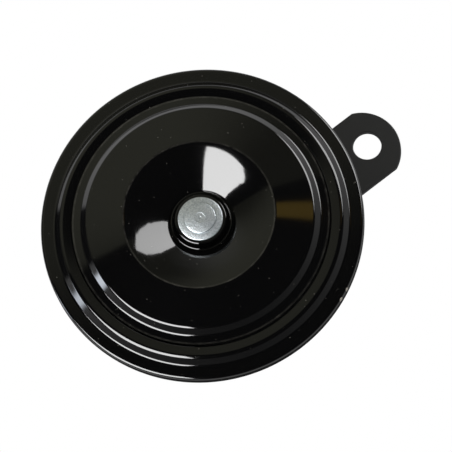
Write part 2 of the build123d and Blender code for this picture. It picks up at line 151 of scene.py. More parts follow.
def object_mode():
    """Leave edit mode and deselect everything."""
    if bpy.context.object and bpy.context.object.mode != "OBJECT":
        bpy.ops.object.mode_set(mode="OBJECT")
    bpy.ops.object.select_all(action="DESELECT")


def make_active(piece):
    object_mode()
    piece.select_set(True)
    bpy.context.view_layer.objects.active = piece


def edit_all(piece):
    """Enter edit mode with the whole mesh selected."""
    make_active(piece)
    bpy.ops.object.mode_set(mode="EDIT")
    bpy.ops.mesh.select_all(action="SELECT")


def named(piece, name):
    piece.name = name
    piece.data.name = name
    return piece


def settle(piece):
    """Put the piece's place into its mesh, so that its object sits at the origin."""
    make_active(piece)
    bpy.ops.object.transform_apply(location=True, rotation=True, scale=True)
    return piece


def apply_modifier(piece, kind, **settings):
    make_active(piece)
    modifier = piece.modifiers.new(kind.title(), kind)
    for name, value in settings.items():
        setattr(modifier, name, value)
    bpy.ops.object.modifier_apply(modifier=modifier.name)


def cut_by(piece, cutter, operation="DIFFERENCE"):
    """Boolean with a tool piece, which is used up."""
    apply_modifier(piece, "BOOLEAN", operation=operation, solver="EXACT", object=cutter)
    bpy.data.objects.remove(cutter)


def joined(pieces):
    """One piece from several; the first gives its name."""
    make_active(pieces[0])
    for piece in pieces:
        piece.select_set(True)
    bpy.ops.object.join()
    return pieces[0]


def copy_of(piece, name):
    """A copy with its own mesh."""
    made = piece.copy()
    made.data = piece.data.copy()
    bpy.context.scene.collection.objects.link(made)
    return named(made, name)


def weld_selected():
    """Weld everything in edit mode, and leave everything selected."""
    bpy.ops.mesh.select_all(action="SELECT")
    bpy.ops.mesh.remove_doubles(threshold=TOUCH)
    bpy.ops.mesh.select_all(action="SELECT")


def face_outward():
    """Turn every face outward in edit mode."""
    bpy.ops.mesh.select_all(action="SELECT")
    bpy.ops.mesh.normals_make_consistent(inside=False)


def select_at(piece, point):
    """Select the edit-mode vertices that stand on a point."""
    bpy.ops.mesh.select_all(action="DESELECT")
    mesh = bmesh.from_edit_mesh(piece.data)
    for vertex in mesh.verts:
        if (vertex.co - point).length < TOUCH:
            vertex.select = True
    mesh.select_flush_mode()
    bmesh.update_edit_mesh(piece.data)


def started_at(name, point):
    """A piece of one vertex, in edit mode, to draw on from."""
    object_mode()
    bpy.ops.mesh.primitive_plane_add(size=MM, location=point)
    piece = settle(named(bpy.context.object, name))
    edit_all(piece)
    bpy.ops.mesh.merge(type="CENTER")
    return piece


def drawn_to(start, end):
    """Draw an edge on from the selected vertex."""
    bpy.ops.mesh.extrude_vertices_move(TRANSFORM_OT_translate={"value": end - start})


def arc_about(centre, angle, steps):
    """Draw an arc on from the selected vertex about a line along the horn's axis."""
    bpy.ops.mesh.spin(steps=steps, angle=angle, center=centre, axis=BACK)


def bends_mm(*radii):
    """Bend radii given in millimetres."""
    return [radius * MM for radius in radii]


def round_corner(piece, before, corner, after, radius, segments):
    """Replace a corner of a drawn line by an arc of the given radius."""
    if radius <= 0:
        return
    turn = (corner - before).angle(after - corner)
    select_at(piece, corner)
    bpy.ops.mesh.bevel(
        offset=radius * math.tan(turn / 2),
        offset_type="OFFSET",
        segments=segments,
        profile=0.5,
        affect="VERTICES",
    )


def drawn_line(name, points):
    """A piece of straight edges from point to point, in edit mode."""
    piece = started_at(name, points[0])
    for start, end in zip(points, points[1:]):
        drawn_to(start, end)
    return piece


def rounded_line(name, points, bends, segments):
    """A drawn line whose inner corners are arcs; one bend radius for each inner corner."""
    piece = drawn_line(name, points)
    for index, radius in enumerate(bends, start=1):
        round_corner(piece, points[index - 1], points[index], points[index + 1], radius, segments)
    return piece


def spun(piece, centre, steps=SPIN_STEPS):
    """Spin the drawn line once round and weld its seam and poles."""
    bpy.ops.mesh.select_all(action="SELECT")
    bpy.ops.mesh.spin(steps=steps, angle=FULL_TURN, center=centre, axis=BACK)
    weld_selected()
    face_outward()
    return piece


def shade(piece, angle=SHARP_ANGLE):
    """Smooth shading with sharp edges, where large flat faces keep their own direction."""
    make_active(piece)
    bpy.ops.object.shade_smooth_by_angle(angle=angle)
    apply_modifier(piece, "WEIGHTED_NORMAL", keep_sharp=True)
    return piece


def ease_edges(piece, width, segments=2, angle=40):
    """Round the sharp edges a little."""
    apply_modifier(
        piece,
        "BEVEL",
        width=width,
        segments=segments,
        limit_method="ANGLE",
        angle_limit=math.radians(angle),
        use_clamp_overlap=True,
    )


def pressed_piece(name, corners, bends, sheet, shown_from, probe, break_edge, segments=10):
    """Pressed sheet: its shown face is spun from bend points and given its thickness on the other side."""
    points = [at(radius, height) for radius, height in corners]
    piece = spun(rounded_line(name, points, bends, segments), at(0, 0))
    mesh = bmesh.from_edit_mesh(piece.data)
    place = at(*probe)
    nearest = min(mesh.faces, key=lambda face: (face.calc_center_median() - place).length)
    if nearest.normal.dot(shown_from) < 0:
        bpy.ops.mesh.flip_normals()
    apply_modifier(piece, "SOLIDIFY", thickness=sheet, offset=-1, use_even_offset=True)
    ease_edges(piece, break_edge)
    return shade(piece)


def turned_piece(name, corners, bends=(), centre=None, steps=SPIN_STEPS, segments=4):
    """Turned solid from half its section, whose line starts and ends on the axis or closes on itself."""
    middle = at(0, 0) if centre is None else centre
    points = [middle + radius * Vector((1, 0, 0)) + height * FRONT for radius, height in corners]
    piece = spun(rounded_line(name, points, bends, segments), middle, steps)
    object_mode()
    return piece


def ring_piece(name, outer, inner, front, back, edge):
    """Flat turned ring with eased edges."""
    corners = [(inner, front), (outer, front), (outer, back), (inner, back), (inner, front)]
    piece = turned_piece(name, corners)
    ease_edges(piece, edge)
    return shade(piece)


def bar_tool(radius, front, back, centre, steps=96):
    """Round tool for cutting a hole along the horn's axis."""
    corners = [(0, front), (radius, front), (radius, back), (0, back)]
    return turned_piece("tool", corners, centre=centre, steps=steps)


def swung(piece, rotation, place):
    """Bring a piece from the horn's axis to the origin, turn it there and move it to its place."""
    piece.location = -at(0, 0)
    settle(piece)
    piece.rotation_euler = rotation
    settle(piece)
    piece.location = place
    return settle(piece)


def block_piece(name, size, place, angle=0.0):
    """Rectangular block, turned about the horn's axis, with its place in its mesh."""
    object_mode()
    bpy.ops.mesh.primitive_cube_add(size=1, location=place, rotation=(0, -angle, 0))
    piece = named(bpy.context.object, name)
    piece.scale = size
    return settle(piece)


def finish_piece(piece, finish, body, slot, *replaced):
    """Give a new piece its finish, its body and the solids that it stands for."""
    piece.data.materials.clear()
    piece.data.materials.append(bpy.data.materials[finish])
    if replaced:
        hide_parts(*replaced)
    if body:
        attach(piece, body)
    return piece


def zinc_plated(piece, node):
    """Finish a bought fastener or turned part that stands on the housing."""
    return finish_piece(piece, "dull_zinc_plate", "housing", "zinc_plating", node)


def enamelled(piece, body, node):
    """Finish a piece that was sprayed with the black enamel."""
    return finish_piece(piece, "stoved_black_enamel", body, "gloss_black_paint", node)


# Materials


def linear(hex_colour):
    """Linear RGBA from an sRGB hex value."""
    channels = [int(hex_colour[i:i + 2], 16) / 255 for i in (1, 3, 5)]
    spread = [c / 12.92 if c <= 0.04045 else ((c + 0.055) / 1.055) ** 2.4 for c in channels]
    return (*spread, 1.0)


def per_metre(size_mm):
    """Texture scale that gives a pattern a size in millimetres on coordinates in metres."""
    return 1 / (size_mm * MM)


def add_node(tree, kind, inputs=None, **settings):
    """Add a node with its settings; inputs are values, or sockets to link from."""
    made = tree.nodes.new(kind)
    for name, value in settings.items():
        setattr(made, name, value)
    for key, value in (inputs or {}).items():
        if isinstance(value, bpy.types.NodeSocket):
            tree.links.new(value, made.inputs[key])
        else:
            made.inputs[key].default_value = value
    return made


def math_node(tree, operation, inputs):
    """Do sums on values."""
    return add_node(tree, "ShaderNodeMath", inputs, operation=operation)


def mix_node(tree, share, under, over):
    """Mix two colours by a share."""
    return add_node(tree, "ShaderNodeMix", {"Factor": share, "A": under, "B": over}, data_type="RGBA")


def range_node(tree, value, start, end, low=0.0, high=1.0, **settings):
    """Bring a value from one range to another, held at its ends."""
    inputs = {"Value": value, "From Min": start, "From Max": end, "To Min": low, "To Max": high}
    return add_node(tree, "ShaderNodeMapRange", inputs, **settings)


def bump_node(tree, height, distance):
    """Raise the surface by a height of at most a distance."""
    return add_node(tree, "ShaderNodeBump", {"Height": height, "Strength": 1.0, "Distance": distance})


def new_material(name):
    """Empty node material with its shader and the piece's own coordinates."""
    material = bpy.data.materials.new(name)
    material.use_nodes = True
    tree = material.node_tree
    tree.nodes.clear()
    shader = add_node(tree, "ShaderNodeBsdfPrincipled")
    add_node(tree, "ShaderNodeOutputMaterial", {"Surface": shader.outputs[0]})
    place = add_node(tree, "ShaderNodeTexCoord").outputs["Object"]
    return tree, shader, place


def stoved_black_enamel(colour, dust_and_highlight_colour, primer_colour):
    # Stoving enamel sprayed on pressed steel: a deep black that mirrors the lamps sharply with a faint
    # orange peel, carries settled dust, shows primer where the rim was knocked, and has painted highlights:
    # pale broken lines of the dust colour along the bowl's rim crest and the disc's cut edge.
    tree, shader, place = new_material("stoved_black_enamel")
    peel = add_node(tree, "ShaderNodeTexNoise", {"Vector": place, "Scale": per_metre(1.6), "Detail": 1.0})
    ripple = add_node(tree, "ShaderNodeTexNoise", {"Vector": place, "Scale": per_metre(7.0), "Detail": 0.0})
    uneven = math_node(tree, "MULTIPLY_ADD", {0: ripple.outputs["Fac"], 1: 4.0, 2: peel.outputs["Fac"]})
    bump = bump_node(tree, uneven.outputs[0], PEEL_HEIGHT)

    # Real dust is finer; it is drawn a quarter of a millimetre across, as fine as it can show.
    cells = add_node(tree, "ShaderNodeTexVoronoi", {"Vector": place, "Scale": per_metre(1.3)})
    near = range_node(tree, cells.outputs["Distance"], 0.13, 0.06)
    chosen = add_node(tree, "ShaderNodeSeparateColor", {"Color": cells.outputs["Color"]})
    settled = range_node(tree, chosen.outputs[0], 0.80, 1.0, 0.0, DUST_COVER)
    specks = math_node(tree, "MULTIPLY", {0: near.outputs[0], 1: settled.outputs[0]})

    # Painted highlight: pale broken lines of the dust colour along the crest of the bowl's rim and the
    # disc's cut edge, on the front only, where these bends catch the light.
    outward = add_node(
        tree, "ShaderNodeVectorMath", {0: place, 1: (1, 0, 1), 2: -AXIS_Z * UP}, operation="MULTIPLY_ADD"
    )
    radius = add_node(tree, "ShaderNodeVectorMath", {0: outward.outputs[0]}, operation="LENGTH")
    offsets = []
    for crest in HIGHLIGHT_LINE_RADII:
        off_crest = math_node(tree, "SUBTRACT", {0: radius.outputs["Value"], 1: crest})
        offsets.append(math_node(tree, "ABSOLUTE", {0: off_crest.outputs[0]}))
    beside = math_node(tree, "MINIMUM", {0: offsets[0].outputs[0], 1: offsets[1].outputs[0]})
    painted_highlight_line = range_node(tree, beside.outputs[0], HIGHLIGHT_LINE_WIDTH, 0.0, 0.0, RIM_HIGHLIGHT_SHARE)
    depth = add_node(tree, "ShaderNodeSeparateXYZ", {"Vector": place})
    in_front = math_node(tree, "LESS_THAN", {0: depth.outputs["Y"], 1: BAND_Y - 2 * MM})
    painted_rim_highlight = math_node(tree, "MULTIPLY", {0: painted_highlight_line.outputs[0], 1: in_front.outputs[0]})
    gaps = range_node(tree, peel.outputs["Fac"], 0.2, 0.9)
    broken_highlight = math_node(tree, "MULTIPLY", {0: painted_rim_highlight.outputs[0], 1: gaps.outputs[0]})
    # Dust specks together with the painted highlight lines
    dust_and_highlight = math_node(tree, "MAXIMUM", {0: specks.outputs[0], 1: broken_highlight.outputs[0]})

    knocks = []
    for knock in RIM_KNOCKS:
        away = add_node(tree, "ShaderNodeVectorMath", {0: place, 1: knock}, operation="DISTANCE")
        knocks.append(away.outputs["Value"])
    nearest = math_node(tree, "MINIMUM", {0: knocks[0], 1: knocks[1]})
    ragged = add_node(tree, "ShaderNodeTexNoise", {"Vector": place, "Scale": per_metre(0.5)})
    reach = math_node(
        tree, "MULTIPLY_ADD", {0: ragged.outputs["Fac"], 1: -KNOCK_RAGGED, 2: nearest.outputs[0]}
    )
    chipped = math_node(tree, "LESS_THAN", {0: reach.outputs[0], 1: KNOCK_RADIUS})

    dust_and_highlight_mix = mix_node(tree, dust_and_highlight.outputs[0], colour, dust_and_highlight_colour)
    worn_and_highlighted = mix_node(tree, chipped.outputs[0], dust_and_highlight_mix.outputs["Result"], primer_colour)
    matt = math_node(tree, "MAXIMUM", {0: dust_and_highlight.outputs[0], 1: chipped.outputs[0]})
    rough = range_node(tree, matt.outputs[0], 0.0, 1.0, *ENAMEL_ROUGH)
    tree.links.new(worn_and_highlighted.outputs["Result"], shader.inputs["Base Color"])
    tree.links.new(rough.outputs[0], shader.inputs["Roughness"])
    tree.links.new(bump.outputs[0], shader.inputs["Normal"])
    shader.inputs["IOR"].default_value = ENAMEL_IOR


def mottled_finish(name, light, dark, grain, rough, metallic=0.0, relief=0.0, stretch=(1, 1, 1)):
    """Material whose colour, roughness and relief vary together with a grain given in millimetres."""
    tree, shader, place = new_material(name)
    drawn = add_node(tree, "ShaderNodeMapping", {"Vector": place, "Scale": stretch})
    spots = add_node(
        tree,
        "ShaderNodeTexNoise",
        {"Vector": drawn.outputs[0], "Scale": per_metre(grain), "Detail": 3.0, "Roughness": 0.6},
    )
    spread = range_node(tree, spots.outputs["Fac"], 0.3, 0.7)
    colour = mix_node(tree, spread.outputs[0], linear(dark), linear(light))
    polish = range_node(tree, spread.outputs[0], 0.0, 1.0, rough[1], rough[0])
    bump = bump_node(tree, spots.outputs["Fac"], relief * MM)
    tree.links.new(colour.outputs["Result"], shader.inputs["Base Color"])
    tree.links.new(polish.outputs[0], shader.inputs["Roughness"])
    tree.links.new(bump.outputs[0], shader.inputs["Normal"])
    shader.inputs["Metallic"].default_value = metallic
    return tree, shader, place


def enamelled_copper_winding():
    # Copper wire wound in close layers under clear enamel: warm, glossy, with a ridge for every turn.
    tree, shader, place = mottled_finish(
        "enamelled_copper_winding", "#b5613a", "#7d3a1e", 3.0, (0.2, 0.3), metallic=0.8
    )
    turns = add_node(
        tree,
        "ShaderNodeTexWave",
        {"Vector": place, "Scale": per_metre(0.6) / FULL_TURN, "Distortion": 0.4, "Detail": 1.0},
        wave_type="BANDS",
        bands_direction="Y",
    )
    bump = bump_node(tree, turns.outputs["Fac"], 0.12 * MM)
    tree.links.new(bump.outputs[0], shader.inputs["Normal"])


def plated_and_plain_finishes(colours):
    # Satin black: a thinner coat on the strap, so it scatters the lamps over a fine sprayed grain.
    mottled_finish("satin_black_paint", "#0b0b0b", "#070707", 0.8, (0.34, 0.44), relief=0.006)
    # Bright zinc plate on pressed and riveted steel: cool grey, faintly cloudy, softly reflecting.
    mottled_finish("bright_zinc_plate", "#f0f5f8", "#a4adb2", 0.4, (0.32, 0.5), 1.0, 0.08)
    # Zinc plate on bought fasteners, duller than the front's.
    mottled_finish("dull_zinc_plate", "#b9bcbb", "#8f9493", 0.9, (0.38, 0.52), 1.0, 0.008)
    # Oiled rolled steel as it is inside the housing.
    mottled_finish("oiled_rolled_steel", "#8b8d8f", "#6d6f72", 1.5, (0.35, 0.5), 1.0, 0.004, (1, 1, 0.2))
    # Tempered spring strip: bluish, with the fine lines that rolling leaves.
    mottled_finish("tempered_spring_strip", "#8e949d", "#6c727c", 0.4, (0.25, 0.36), 1.0, 0.002, (0.1, 1, 1))
    # Pressed fibre gasket: matt, dark and flecked.
    mottled_finish("pressed_fibre", "#4a4037", "#2b2520", 0.6, (0.85, 0.95), relief=0.03)
    # Glass-filled nylon, moulded: near black with a fine dull skin.
    mottled_finish("moulded_black_nylon", "#26262a", "#1b1b1d", 0.5, (0.42, 0.55), relief=0.01)
    # Unfilled nylon: milky, a little waxy.
    _, shader, _ = mottled_finish(
        "moulded_natural_nylon", "#e0d9c2", "#d2c9ae", 2.5, (0.38, 0.46), relief=0.004
    )
    shader.inputs["Subsurface Weight"].default_value = 0.25
    shader.inputs["Subsurface Radius"].default_value = (1.5 * MM, 1.2 * MM, 0.8 * MM)
    # Paper laminate bound with phenolic resin, punched: brown with its fibres showing at the surface.
    mottled_finish(
        "phenolic_paper_laminate", "#7a4d2b", "#57341b", 0.5, (0.4, 0.55), 0.0, 0.01, (1, 1, 0.25)
    )
    # Tin plate over rolled brass: pale grey with a warm cast.
    mottled_finish("tinned_brass_strip", "#cfc9b2", "#a9a287", 0.7, (0.3, 0.42), 1.0, 0.004, (1, 0.3, 1))
    # Sintered tungsten contact: dark, dull and close-grained.
    mottled_finish("tungsten_contact", "#8b8b8d", "#737376", 0.3, (0.4, 0.5), 1.0, 0.004)
    # Sealing lacquer dabbed round the screw: thick and shiny, paler where it is thin.
    _, shader, _ = mottled_finish("sealing_lacquer", "#a32018", "#6e120d", 1.2, (0.12, 0.2), relief=0.05)
    shader.inputs["Coat Weight"].default_value = 0.5
    # Fired ceramic body of the resistor: chalky grey-green.
    mottled_finish("fired_ceramic", "#8d9a8c", "#748173", 0.4, (0.7, 0.85), relief=0.01)
    enamelled_copper_winding()
    stoved_black_enamel(colours.enamel_colour, colours.dust_and_highlight_colour, colours.primer_colour)


SLOT_FINISHES = {
    "gloss_black_paint": "stoved_black_enamel",
    "satin_black_paint": "satin_black_paint",
    "zinc_plating": "dull_zinc_plate",
    "bare_steel": "oiled_rolled_steel",
    "spring_steel": "tempered_spring_strip",
    "gasket_fibre": "pressed_fibre",
    "black_nylon": "moulded_black_nylon",
    "natural_nylon": "moulded_natural_nylon",
    "enamelled_copper": "enamelled_copper_winding",
    "phenolic_board": "phenolic_paper_laminate",
    "tinned_brass": "tinned_brass_strip",
    "contact_metal": "tungsten_contact",
    "sealing_lacquer": "sealing_lacquer",
    "resistor_ceramic": "fired_ceramic",
}


# Sizes and colours that a user would change


def length(name, description, size_mm):
    return FloatProperty(
        name=name, description=description, default=size_mm * MM, min=0.0, unit="LENGTH", subtype="DISTANCE"
    )


def colour(name, description, hex_colour):
    return FloatVectorProperty(
        name=name,
        description=description,
        default=linear(hex_colour),
        size=4,
        min=0.0,
        max=1.0,
        subtype="COLOR",
    )


class HornSizes(bpy.types.PropertyGroup):
    band_width: length("Band width", "Flat band outside the front ring's step", 4.0)
    slope_run: length("Slope run", "Slope between the band and the raised land, measured across", 2.08)
    land_width: length("Land width", "Raised land, from the slope's bend points to its cut edge", 3.1)
    land_height: length("Land height", "Height of the land's bend points above the band", 2.1)
    land_fall: length("Land fall", "How far the land's cut edge lies behind its bend points", 0.18)
    hem_width: length("Hem width", "Width of the hem behind the housing's flange", 3.5)
    disc_sheet: length("Disc sheet", "Thickness of the tone disc", 1.2)
    bowl_radius: length("Bowl radius", "Radius of the tone disc's bowl at its rim", 21.8)
    bowl_rim_height: length("Bowl rim height", "Height of the bowl's rim above the band", 8.1)
    hub_radius: length("Hub radius", "Radius of the raised hub's flat top", 7.35)
    housing_sheet: length("Housing sheet", "Thickness of the drawn rear housing", 1.0)
    strap_width: length("Strap width", "Width of the mounting strap", 21.8)
    strap_end_radius: length("Strap end radius", "Radius of the arc beyond the bolt hole", 12.0)
    strap_end_inset: length("Strap end inset", "How far that arc's centre lies inside the bolt hole", 2.4)
    bolt_hole: length("Bolt hole", "Diameter of the strap's bolt hole", 8.5)
    thread_pitch: length("Thread pitch", "Pitch of the stud's thread", 1.25)
    edge_break: length("Edge break", "Rounding of cut edges under the paint", 0.12)


class HornColours(bpy.types.PropertyGroup):
    enamel_colour: colour("Enamel", "Gloss black of the front ring, tone disc and housing", "#030303")
    # The dust colour is also painted in lines along the bowl's rim and the disc's cut edge as highlights
    dust_and_highlight_colour: colour("Dust", "Dust on the enamel", "#b9b5aa")
    primer_colour: colour("Primer", "Primer and steel where the rim is chipped", "#8c877d")
    floor_colour: colour("Floor", "Floor of the studio", "#f2f2ef")


class HornStudio(bpy.types.PropertyGroup):
    low_softbox: FloatProperty(
        name="Low softbox", description="Brightness of the panel below the horn", default=20.0, min=0.0
    )
    high_softbox: FloatProperty(
        name="High softbox", description="Brightness of the panel above the horn", default=6.5, min=0.0
    )
    floor_drop: length("Floor drop", "How far the floor lies below the bolt hole", 200.0)
    camera_distance: length("Camera distance", "How far the camera stands from the horn", 1000.0)


# Front ring, tone disc and what the stem clamps


class HORN_OT_finishes(bpy.types.Operator):
    """Mix the paints, platings and plastics and put them on the measured pieces"""

    bl_idname = "horn.finishes"
    bl_label = "Finishes"

    def execute(self, context):
        plated_and_plain_finishes(context.scene.horn_colours)
        for part in frame["record"]["subparts"]:
            node = frame["nodes"][part["node"]]
            finish = bpy.data.materials[SLOT_FINISHES[part["material_slot"]]]
            node.data.materials.clear()
            node.data.materials.append(finish)
        return {"FINISHED"}


class HORN_OT_front_ring(bpy.types.Operator):
    """Press the front ring with its raised land and its hem"""

    bl_idname = "horn.front_ring"
    bl_label = "Front ring"

    def execute(self, context):
        sizes = context.scene.horn_sizes
        hem_back = back_of("front_ring")
        slope_foot = RING_RADIUS - sizes.band_width
        slope_top = slope_foot - sizes.slope_run
        corners = [
            (RING_RADIUS - sizes.hem_width, hem_back),
            (RING_RADIUS, hem_back),
            (RING_RADIUS, 0),
            (slope_foot, 0),
            (slope_top, sizes.land_height),
            (slope_top - sizes.land_width, sizes.land_height - sizes.land_fall),
        ]
        bends = bends_mm(1.4, 1.0, 0.9, 1.5)
        probe = (RING_RADIUS - 2 * MM, 0)
        ring = pressed_piece(
            "front_ring_pressing", corners, bends, RING_SHEET, FRONT, probe, sizes.edge_break
        )
        enamelled(ring, "housing", "front_ring")
        return {"FINISHED"}


class HORN_OT_tone_disc(bpy.types.Operator):
    """Press the tone disc with its stepped edge, cone, bowl and raised hub"""

    bl_idname = "horn.tone_disc"
    bl_label = "Tone disc"

    def execute(self, context):
        sizes = context.scene.horn_sizes
        edge = radius_of("tone_disc")
        foot = 8.5 * MM
        corners = [
            (edge, 3.0 * MM),
            (edge - 2.5 * MM, 3.5 * MM),
            (edge - 4.3 * MM, 5.3 * MM),
            (sizes.bowl_radius, sizes.bowl_rim_height),
            (sizes.bowl_radius - 1.9 * MM, sizes.bowl_rim_height - 0.65 * MM),
            (foot + 8.0 * MM, 5.85 * MM),
            (foot + 4.0 * MM, 3.6 * MM),
            (foot, 1.15 * MM),
            (sizes.hub_radius, HUB_HEIGHT),
            (STEM_RADIUS, HUB_HEIGHT),
        ]
        bends = bends_mm(1.0, 1.2, 1.6, 24.0, 50.0, 90.0, 0.4, 0.5)
        probe = (27 * MM, 6.7 * MM)
        disc = pressed_piece(
            "tone_disc_pressing", corners, bends, sizes.disc_sheet, FRONT, probe, 0.5 * MM, 12
        )
        enamelled(disc, "vibrator", "tone_disc")
        return {"FINISHED"}


class HORN_OT_stem(bpy.types.Operator):
    """Turn the armature with its stem, riveted over the plated collar"""

    bl_idname = "horn.stem"
    bl_label = "Stem and collar"

    def execute(self, context):
        collar_front = HUB_HEIGHT + 0.6 * MM
        collar_radius = 6.5 * MM
        collar = turned_piece(
            "stem_collar_washer",
            [
                (STEM_RADIUS, HUB_HEIGHT),
                (collar_radius, HUB_HEIGHT),
                (collar_radius, collar_front - 0.2 * MM),
                (4.7 * MM, collar_front),
                (STEM_RADIUS, collar_front),
                (STEM_RADIUS, HUB_HEIGHT),
            ],
            bends_mm(0.1, 0.3, 2),
        )
        shade(collar)
        finish_piece(collar, "bright_zinc_plate", "vibrator", "zinc_plating", "stem_collar")

        low = back_of("armature")
        head = front_of("armature")
        shoulder = front_of("diaphragm_washer") - 1.4 * MM
        step = shoulder - 2.0 * MM
        flange_radius = 11.0 * MM
        shank_radius = 3.0 * MM
        head_radius = 4.5 * MM
        dimple_floor = head - 0.06 * MM
        armature = turned_piece(
            "armature_and_stem",
            [
                (0, low),
                (CORE_RADIUS, low),
                (CORE_RADIUS, step),
                (flange_radius, step),
                (flange_radius, shoulder),
                (shank_radius, shoulder),
                (shank_radius, collar_front),
                (head_radius, collar_front),
                (head_radius, head - 0.25 * MM),
                (1.6 * MM, head),
                (1.3 * MM, dimple_floor),
                (0.45 * MM, dimple_floor),
                (0, head - 0.2 * MM),
            ],
            bends_mm(0.4, 0, 0.2, 0.2, 0.2, 0.1, 0.05, 0.2, 0.15, 0.15, 0.15),
        )
        shade(armature)
        finish_piece(armature, "bright_zinc_plate", "vibrator", "zinc_plating", "armature")
        return {"FINISHED"}


class HORN_OT_diaphragm(bpy.types.Operator):
    """Press the diaphragm, which spans between the housing and the stem"""

    bl_idname = "horn.diaphragm"
    bl_label = "Diaphragm"

    def execute(self, context):
        sheet = 0.4 * MM
        rim = front_of("diaphragm")
        centre = back_of("diaphragm") + sheet
        edge = radius_of("diaphragm")
        corners = [
            (edge, rim),
            (36.6 * MM, rim),
            (24.0 * MM, (rim + centre) / 2),
            (12.0 * MM, centre),
            (STEM_RADIUS, centre),
        ]
        bends = bends_mm(6, 0, 6)
        probe = (40 * MM, rim)
        piece = pressed_piece("diaphragm_sheet", corners, bends, sheet, FRONT, probe, 0.05 * MM)
        finish_piece(piece, "satin_black_paint", None, "satin_black_paint", "diaphragm")
        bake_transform(piece)
        return {"FINISHED"}


# Housing, magnet core and mounting strap


class HORN_OT_rear_housing(bpy.types.Operator):
    """Draw the stepped rear housing with its clamping flange"""

    bl_idname = "horn.rear_housing"
    bl_label = "Rear housing"

    def execute(self, context):
        sizes = context.scene.horn_sizes
        end = back_of("rear_housing")
        flange_back = front_of("rear_housing") - sizes.housing_sheet
        edge = radius_of("rear_housing")
        corners = [
            (STUD_RADIUS, end),
            (30.0 * MM, end),
            (30.4 * MM, STEP_HEIGHT),
            (40.9 * MM, STEP_HEIGHT),
            (41.6 * MM, flange_back),
            (edge, flange_back),
        ]
        bends = bends_mm(3.0, 1.0, 2.5, 1.5)
        probe = (20 * MM, end)
        can = pressed_piece(
            "rear_housing_can", corners, bends, sizes.housing_sheet, BACK, probe, sizes.edge_break
        )
        enamelled(can, "housing", "rear_housing")
        return {"FINISHED"}


class HORN_OT_magnet_core(bpy.types.Operator):
    """Turn the pole core with its threaded mounting stud"""

    bl_idname = "horn.magnet_core"
    bl_label = "Core and stud"

    def execute(self, context):
        pitch = context.scene.horn_sizes.thread_pitch
        stud_end = back_of("pole_core")
        core_front = front_of("pole_core")
        can_inside = back_of("rear_housing") + 1.0 * MM
        crest = 4.0 * MM
        root = crest - 0.6 * pitch
        core = turned_piece(
            "pole_core_and_stud",
            [
                (0, stud_end),
                (root, stud_end),
                (root, can_inside - 4 * MM),
                (crest, can_inside - 4 * MM),
                (crest, can_inside),
                (CORE_RADIUS, can_inside),
                (CORE_RADIUS, core_front),
                (0, core_front),
            ],
            bends_mm(0.3, 0, 0, 0, 0, 0.5),
            steps=96,
        )
        ease_edges(core, 0.1 * MM)

        flank = 0.45 * pitch
        corners = [
            Vector((root - 0.1 * MM, 0, 0)),
            Vector((crest, -flank, 0)),
            Vector((crest, -flank - 0.1 * pitch, 0)),
            Vector((root - 0.1 * MM, -2 * flank - 0.1 * pitch, 0)),
            Vector((root - 0.1 * MM, 0, 0)),
        ]
        ridge = drawn_line("thread", corners)
        weld_selected()
        turns = 8
        apply_modifier(
            ridge,
            "SCREW",
            axis="Y",
            screw_offset=-pitch * turns,
            angle=FULL_TURN * turns,
            steps=48 * turns,
            render_steps=48 * turns,
            use_merge_vertices=False,
        )
        ridge.location = at(0, stud_end)
        settle(ridge)
        edit_all(ridge)
        bpy.ops.mesh.fill_holes(sides=4)
        face_outward()
        stud = shade(joined([core, ridge]))
        zinc_plated(stud, "pole_core")
        return {"FINISHED"}


class HORN_OT_mounting_strap(bpy.types.Operator):
    """Blank the flat mounting strap with its round bolt hole"""

    bl_idname = "horn.mounting_strap"
    bl_label = "Mounting strap"

    def execute(self, context):
        sizes = context.scene.horn_sizes
        low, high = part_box("mounting_bracket")
        half_width = sizes.strap_width / 2
        end_centre = Vector((0, low.y, -sizes.strap_end_inset))
        end_rise = math.sqrt(sizes.strap_end_radius ** 2 - half_width ** 2)
        end_angle = 2 * math.asin(half_width / sizes.strap_end_radius)
        stud_centre = Vector((0, low.y, AXIS_Z))
        right_corner = end_centre + Vector((half_width, 0, end_rise))
        left_corner = end_centre + Vector((-half_width, 0, end_rise))
        left_foot = stud_centre - Vector((half_width, 0, 0))
        strap = started_at("mounting_strap", right_corner)
        arc_about(end_centre, end_angle, 48)
        drawn_to(left_corner, left_foot)
        arc_about(stud_centre, math.pi, 64)
        drawn_to(stud_centre + Vector((half_width, 0, 0)), right_corner)
        weld_selected()
        bpy.ops.mesh.edge_face_add()
        bpy.ops.mesh.extrude_region_move(TRANSFORM_OT_translate={"value": (0, high.y - low.y, 0)})
        face_outward()
        object_mode()
        front = BAND_Y - low.y + 1 * MM
        back = BAND_Y - high.y - 1 * MM
        cut_by(strap, bar_tool(sizes.bolt_hole / 2, front, back, at(-AXIS_Z, 0, QUARTER_TURN)))
        cut_by(strap, bar_tool(STUD_RADIUS, front, back, at(0, 0)))
        ease_edges(strap, 0.28 * MM, segments=3)
        shade(strap)
        finish_piece(strap, "satin_black_paint", "housing", "satin_black_paint", "mounting_bracket")
        return {"FINISHED"}


